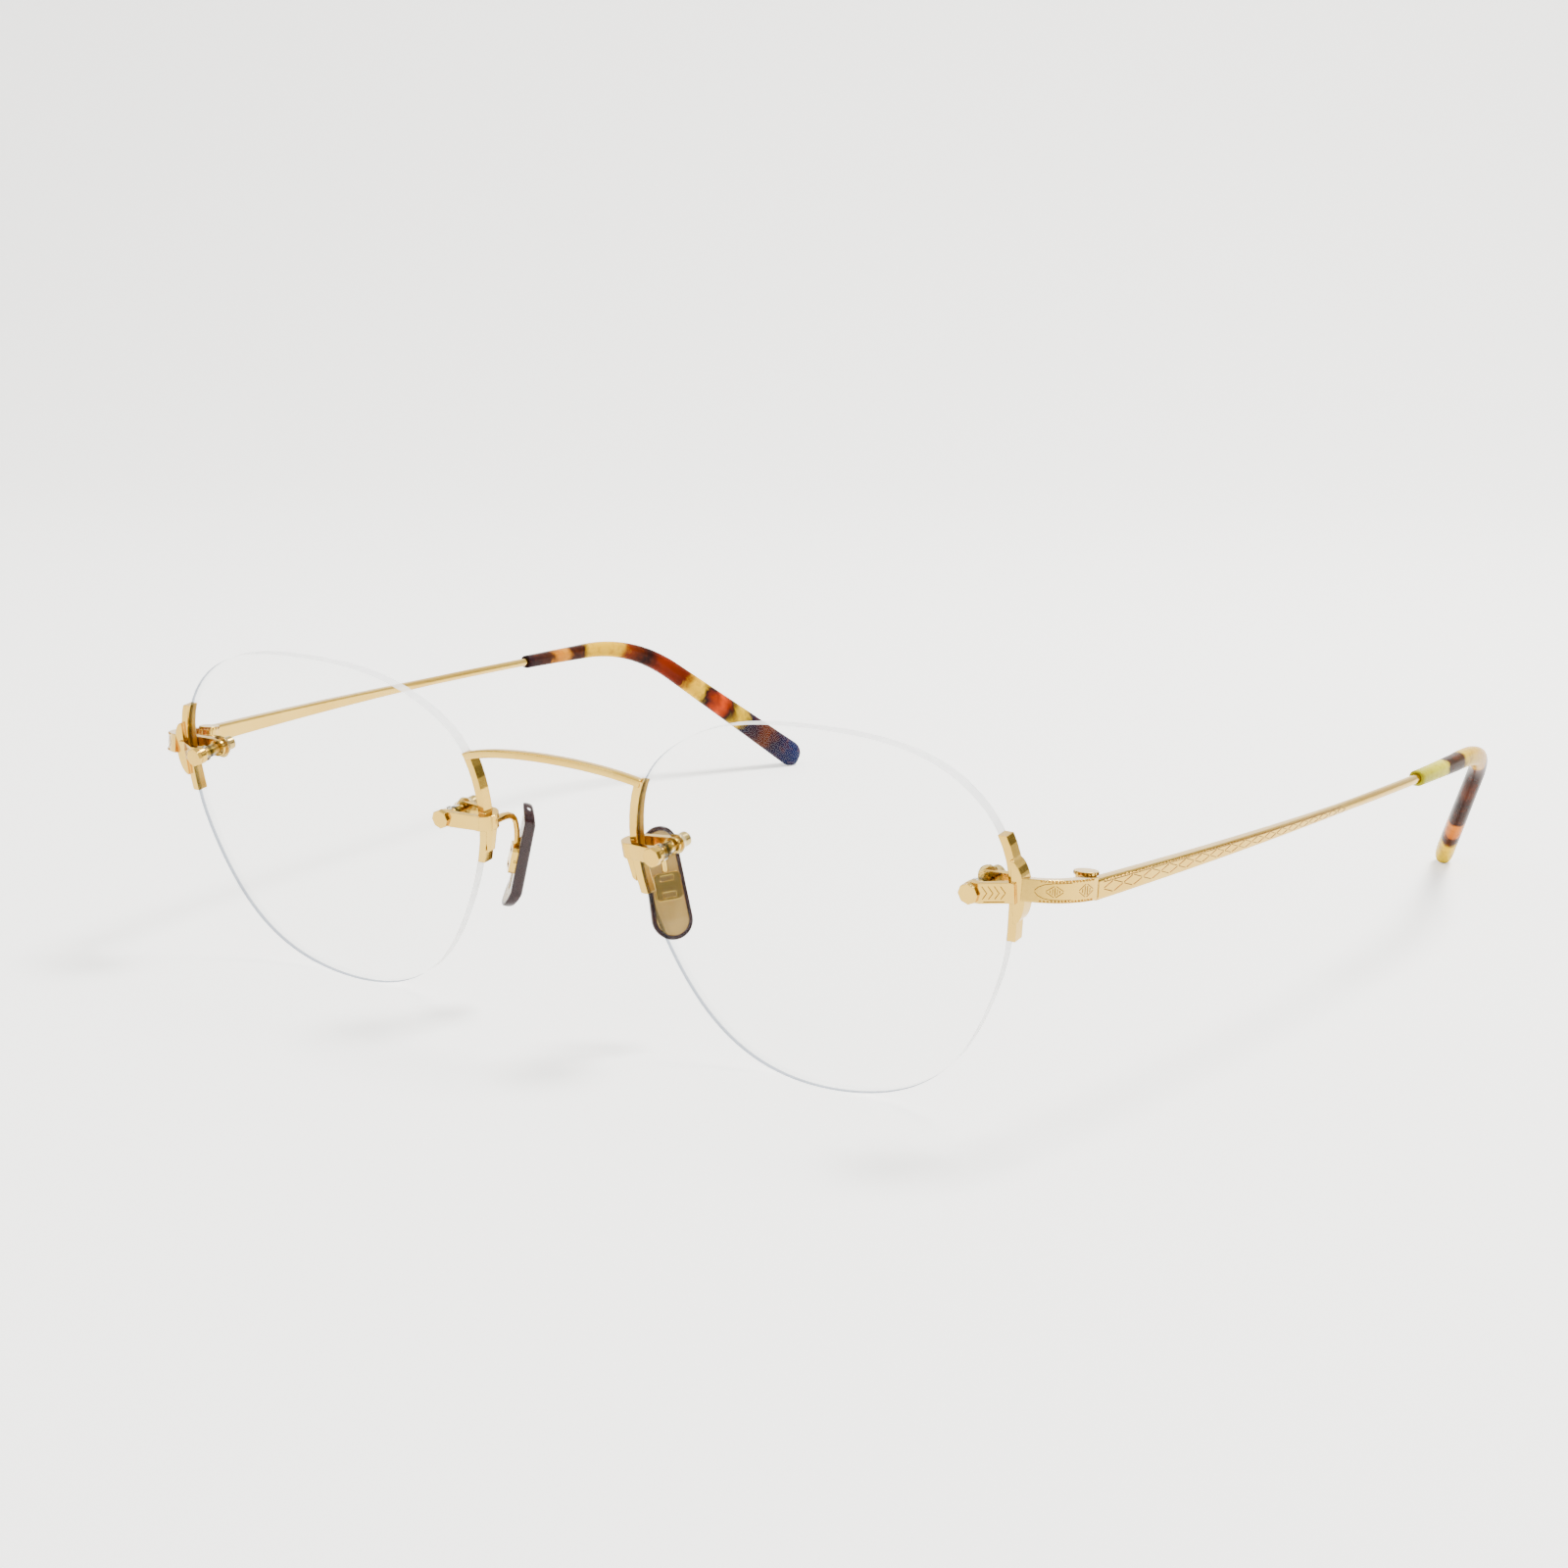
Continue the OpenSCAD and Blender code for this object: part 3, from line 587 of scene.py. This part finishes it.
def on_screw_head(a, b):
    """Round the hinge screw's head: a is the arc in mm and b the height over the hinge."""
    n = Vector((math.cos(a / HEAD_R), math.sin(a / HEAD_R), 0))
    lean = Matrix.Rotation(HINGE_LEAN, 3, "X")
    return HINGE + lean @ (n * HEAD_R + Vector((0, 0, b))), lean @ n


def on_nut(a, b):
    """The cone of a temporal nut: a is the arc in mm at its middle, and b the way back along its axis."""
    base_r, end_r, cone_long = 1.45, 0.85, 0.8
    turn = a / NUT_MEAN_R
    r = base_r + (end_r - base_r) * b / cone_long
    slope = math.atan2(base_r - end_r, cone_long)
    n = Vector((math.cos(turn) * math.cos(slope), math.sin(turn) * math.cos(slope), -math.sin(slope)))
    middle = Vector((19.7, STRAP_V, -3.8))
    p = middle + Vector((r * math.cos(turn), r * math.sin(turn), -b))
    return LENS_MID + LENS_ROT @ p, LENS_ROT @ n


def strokes(name, surface, lines, width, rise, sign, mat, body, sunk=0.06, b_scale=1.0):
    """Each line becomes one closed ridge that follows the surface."""
    verts, faces = [], []
    for line in lines:
        pts = [line[0]]
        for p, q in zip(line, line[1:]):
            count = max(1, math.ceil(math.dist(p, q) / 0.6))
            pts += [(p[0] + (q[0] - p[0]) * i / count, p[1] + (q[1] - p[1]) * i / count)
                    for i in range(1, count + 1)]
        base = len(verts)
        for i, (a, b) in enumerate(pts):
            before, after = pts[max(0, i - 1)], pts[min(len(pts) - 1, i + 1)]
            da, db = after[0] - before[0], (after[1] - before[1]) * b_scale
            k = math.hypot(da, db)
            pa, pb = -db / k, da / k / b_scale
            for side, height in ((-0.5, -sunk), (0.5, -sunk), (0.3, rise), (-0.3, rise)):
                q, n = surface(a + pa * width * side, b + pb * width * side)
                verts.append(to_row(q + n * height, sign) * MM)
        for i in range(len(pts) - 1):
            for j in range(4):
                c = base + 4 * i
                faces.append((c + j, c + (j + 1) % 4, c + 4 + (j + 1) % 4, c + 4 + j))
        last = base + 4 * (len(pts) - 1)
        faces += [(base, base + 3, base + 2, base + 1), (last, last + 1, last + 2, last + 3)]
    obj = mesh_object(name, verts, faces, smooth=False)
    give(obj, mat)
    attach(obj, body)
    return obj


def beads(name, surface, places, r, sign, mat, body):
    """Milgrain: a row of small round grains, half sunk in the surface."""
    bm = bmesh.new()
    for a, b in places:
        p, n = surface(a, b)
        bmesh.ops.create_icosphere(bm, subdivisions=1, radius=r * MM,
                                   matrix=Matrix.Translation(to_row(p + n * r * 0.1, sign) * MM))
    me = bpy.data.meshes.new(name)
    bm.to_mesh(me)
    bm.free()
    for poly in me.polygons:
        poly.use_smooth = True
    obj = link(bpy.data.objects.new(name, me))
    give(obj, mat)
    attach(obj, body)
    return obj


def diamond(mid, half_a, half_b, bars):
    """An open diamond with upright bars inside it."""
    gap = 0.10
    lines = []
    for sa in (-1, 1):
        for sb in (-1, 1):
            lines.append([(mid + sa * (half_a - gap), sb * gap * half_b / half_a),
                          (mid + sa * gap, sb * (half_b - gap * half_b / half_a))])
    for i in range(bars):
        a = (i - (bars - 1) / 2) * 1.25 * half_a / bars
        reach = half_b * (1 - abs(a) / half_a) - 0.17
        if reach > 0.08:
            lines.append([(mid + a, -reach), (mid + a, reach)])
    return lines


def spokes(radius, count, low, high):
    """Lines along a round part, at even steps around it, for a surface whose a is an arc of that radius."""
    places = [radius * 2 * math.pi * i / count for i in range(count)]
    return [[(a, low), (a, high)] for a in places]


def endpiece_engraving(side, sign):
    """A leaf border that opens from a point, two hatched diamonds, and grains along both edges."""
    half_leaf = [(1.35, 0.07), (1.7, 0.42), (2.3, 0.68), (3.2, 0.82), (5.4, 0.86)]
    leaf = [[(a, edge * b) for a, b in half_leaf] for edge in (-1, 1)]
    marks = leaf + diamond(3.5, 1.05, 0.62, 5) + diamond(7.2, 1.0, 0.72, 4)
    strokes("endpiece_engraving_" + side, on_endpiece, marks, 0.10, 0.025, sign, gold_line_painted_shade, "front")
    grains = [(2.0 + 0.4 * i, edge * 1.0) for edge in (-1, 1) for i in range(16)]
    beads("endpiece_milgrain_" + side, on_endpiece, grains, 0.14, sign, gold_bead_painted_shade, "front")


def mount_engraving(side, sign):
    """Chevrons that point to the lens edge over a border line, stripes on the nut, a notched screw head."""
    v = STRAP_V
    chevrons = [[(u - 0.42, v + 0.74), (u, v), (u - 0.42, v - 0.62)] for u in (21.35, 21.9, 22.45, 23.0)]
    chevrons.append([(21.0, v - 0.92), (22.9, v - 0.92)])
    strokes("strap_chevrons_" + side, on_strap, chevrons, 0.11, 0.03, sign, gold_line_painted_shade, "front")
    stripes = spokes(NUT_MEAN_R, 12, 0.1, 0.7)
    strokes("nut_stripes_" + side, on_nut, stripes, 0.16, 0.05, sign, gold_line_painted_shade, "front")
    notches = spokes(HEAD_R, 18, 1.16, 1.46)
    strokes("hinge_screw_notches_" + side, on_screw_head, notches, 0.16, 0.05, sign, gold_line_painted_shade, "front")


def temple_engraving(side, sign):
    """A chain of lozenges that shrinks with the height, and a hatched border over a line."""
    body = side + "_temple"
    peak, low = 0.48, 0.06
    gap = 0.16
    chain, a = [], 8.3
    while a < 58:
        pitch = 3.5 - 1.2 * (a - 8.3) / 50
        for edge in (-1, 1):
            chain.append([(a + gap, edge * low), (a + pitch / 2 - gap, edge * peak)])
            chain.append([(a + pitch / 2 + gap, edge * peak), (a + pitch - gap, edge * low)])
        a += pitch
    strokes("temple_lozenges_" + side, on_temple, chain, 0.11, 0.02, sign, gold_line_painted_shade, body, b_scale=0.9)
    border, a = [], 8.4
    while a < 59:
        border.append([(a, 0.66), (a + 0.42, 0.80)])
        a += 0.62
    strokes("temple_border_" + side, on_temple, border, 0.10, 0.02, sign, gold_bead_painted_shade, body, b_scale=0.9)
    rule = [[(8.3, 0.60), (58.5, 0.60)]]
    strokes("temple_rule_" + side, on_temple, rule, 0.09, 0.02, sign, gold_line_painted_shade, body, b_scale=0.9)


def engraving(side, sign):
    endpiece_engraving(side, sign)
    mount_engraving(side, sign)
    temple_engraving(side, sign)


engraving("left", 1)
engraving("right", -1)


# ------------------------------------------------------------------ nose pads
PAD_MID = Vector((10.1, 8.35, 18.4))
PAD_TURN = [math.radians(a) for a in (-12, -7.5, 48)]
PAD_ROT = (Matrix.Rotation(PAD_TURN[2], 3, "Z") @ Matrix.Rotation(PAD_TURN[1], 3, "Y")
           @ Matrix.Rotation(PAD_TURN[0], 3, "X"))
PAD_HALF, PAD_FRONT_R, PAD_BACK_R = 0.75, 17, 22


def from_pad(p, sign=1):
    q = PAD_MID + PAD_ROT @ Vector(p)
    return (sign * q.x, q.y - ORIGIN_Y, q.z)


def egg(grow, count=64):
    low, high, length = 2.35, 2.0, 13.0
    low_z, high_z = low - length / 2, length / 2 - high
    tilt = math.asin((low - high) / (high_z - low_z))
    pts = []
    half = count // 2
    for i in range(half):
        a = tilt + (math.pi - 2 * tilt) * i / (half - 1)
        pts.append(((high + grow) * math.cos(a), high_z + (high + grow) * math.sin(a)))
    for i in range(half):
        a = math.pi - tilt + (math.pi + 2 * tilt) * i / (half - 1)
        pts.append(((low + grow) * math.cos(a), low_z + (low + grow) * math.sin(a)))
    return pts


def nose_pad(side, sign):
    """A lens-shaped pad: an egg outline between a front and a back that curve along its length."""
    def front(z):
        return PAD_HALF - (PAD_FRONT_R - math.sqrt(PAD_FRONT_R * PAD_FRONT_R - z * z))

    def back(z):
        return -PAD_HALF - (PAD_BACK_R - math.sqrt(PAD_BACK_R * PAD_BACK_R - z * z))

    rings, edge = [], []
    # (growth of the outline, how far between back 0 and front 1, rim attribute for the painted edge shade)
    steps = [(-2.25, 0, 0), (-1.5, 0, 0), (-0.8, 0, 0.1), (-0.5, 0, 0.6), (-0.28, 0.0, 1),
             (-0.12, 0.03, 1), (-0.03, 0.12, 1), (0, 0.3, 1), (0, 0.55, 1), (-0.04, 0.75, 1),
             (-0.14, 0.9, 1), (-0.34, 0.97, 1), (-0.55, 1.0, 0.6), (-1.0, 1.0, 0.1), (-1.6, 1.0, 0),
             (-2.25, 1.0, 0)]
    for grow, t, e in steps:
        ring = []
        for x, z in egg(grow if grow > -2.0 else -1.93):
            if grow < -2.0:
                x *= 0.2
            ring.append(from_pad((x, back(z) + t * (front(z) - back(z)), z), sign))
        rings.append(ring)
        edge.extend([e] * len(ring))
    obj = loft("pad_" + side, rings, {"edge": edge})
    # The dark second colour is painted shade at the pad's edge, where the tinted plastic is looked through
    # at length.
    give(obj, plastic_material("pad_plastic_" + side, (176, 146, 82), (50, 32, 34), "edge"))
    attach(obj, side + "_pad")
    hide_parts("nose_pad_" + side)
    return obj


nose_pad("left", 1)
nose_pad("right", -1)

# ------------------------------------------------------------------ floor and light
def floor_mesh():
    """A floor square to the camera that curves up into the backdrop, in metres."""
    near, bend, bend_r, top, half_wide = -2.2, 0.55, 0.5, 2.2, 2.5
    profile = [(near, 0), (bend, 0)]
    for degrees in range(6, 91, 6):
        a = math.radians(degrees)
        profile.append((bend + bend_r * math.sin(a), bend_r - bend_r * math.cos(a)))
    profile.append((bend + bend_r, top))
    ahead = Vector((look.x, look.y, 0)).normalized()
    verts, faces = [], []
    for d, z in profile:
        for side in (-half_wide, half_wide):
            p = Vector((0.161, -0.268, 0)) + ahead * (d + 0.3) + right * side
            verts.append((p.x, p.y, z))
    for i in range(len(profile) - 1):
        faces.append((2 * i, 2 * i + 1, 2 * i + 3, 2 * i + 2))
    return mesh_object("floor", verts, faces)


def floor_material():
    """Matt white that gives off some light towards the camera."""
    mat, tree, out = shader("floor")
    p = add(tree, "ShaderNodeBsdfPrincipled", Roughness=0.75)
    p.inputs["Base Color"].default_value = (0.90, 0.895, 0.875, 1)
    p.inputs["Specular IOR Level"].default_value = 0.25
    p.inputs["Emission Color"].default_value = (1.0, 0.99, 0.965, 1)
    seen = add(tree, "ShaderNodeLightPath")
    glow = math_node(tree, "MULTIPLY_ADD", seen.outputs["Is Camera Ray"], 0.7, 0.1)
    tree.links.new(glow, p.inputs["Emission Strength"])
    tree.links.new(p.outputs[0], out.inputs[0])
    return mat


floor = floor_mesh()
give(floor, floor_material())


def area(name, where, target, size, power, color=(1, 1, 1), size_y=None):
    d = bpy.data.lights.new(name, "AREA")
    d.shape = "RECTANGLE" if size_y else "SQUARE"
    d.size, d.energy, d.color = size, power, color
    if size_y:
        d.size_y = size_y
    o = link(bpy.data.objects.new(name, d))
    o.location = where
    o.rotation_euler = (Vector(target) - Vector(where)).to_track_quat("-Z", "Y").to_euler()
    return o


area("key", (0.25, 0.35, 0.95), (0, 0, 0), 0.3, 28.0, (1, 0.985, 0.96))
area("fill", (-0.7, -0.8, 0.9), (0, 0, 0), 0.9, 7.0, (1, 0.99, 0.97))


def studio_sky(levels):
    """Soft light from all around, with darker bands that the polished metal mirrors."""
    world = bpy.data.worlds.new("world")
    bpy.context.scene.world = world
    world.use_nodes = True
    tree = world.node_tree
    tree.nodes.clear()
    out = tree.nodes.new("ShaderNodeOutputWorld")
    back = tree.nodes.new("ShaderNodeBackground")
    coords = add(tree, "ShaderNodeTexCoord")
    xyz = tree.nodes.new("ShaderNodeSeparateXYZ")
    ramp = tree.nodes.new("ShaderNodeValToRGB")
    tree.links.new(coords.outputs["Generated"], xyz.inputs[0])
    height = math_node(tree, "MULTIPLY_ADD", xyz.outputs["Z"], 0.5, 0.5)
    tree.links.new(height, ramp.inputs[0])
    elements = ramp.color_ramp.elements
    elements[0].position, elements[1].position = levels[0][0], levels[-1][0]
    elements[0].color = (levels[0][1],) * 3 + (1,)
    elements[1].color = (levels[-1][1],) * 3 + (1,)
    for place, v in levels[1:-1]:
        elements.new(place).color = (v, v * 0.985, v * 0.95, 1)
    back.inputs[1].default_value = 1.75
    tree.links.new(ramp.outputs[0], back.inputs[0])
    tree.links.new(back.outputs[0], out.inputs[0])


studio_sky([(0.0, 0.5), (0.5, 0.5), (0.56, 0.12), (0.64, 0.16), (0.68, 0.85), (0.76, 0.9), (0.80, 0.22),
            (0.84, 0.25), (0.88, 1.0), (1.0, 1.0)])

bpy.context.view_layer.update()
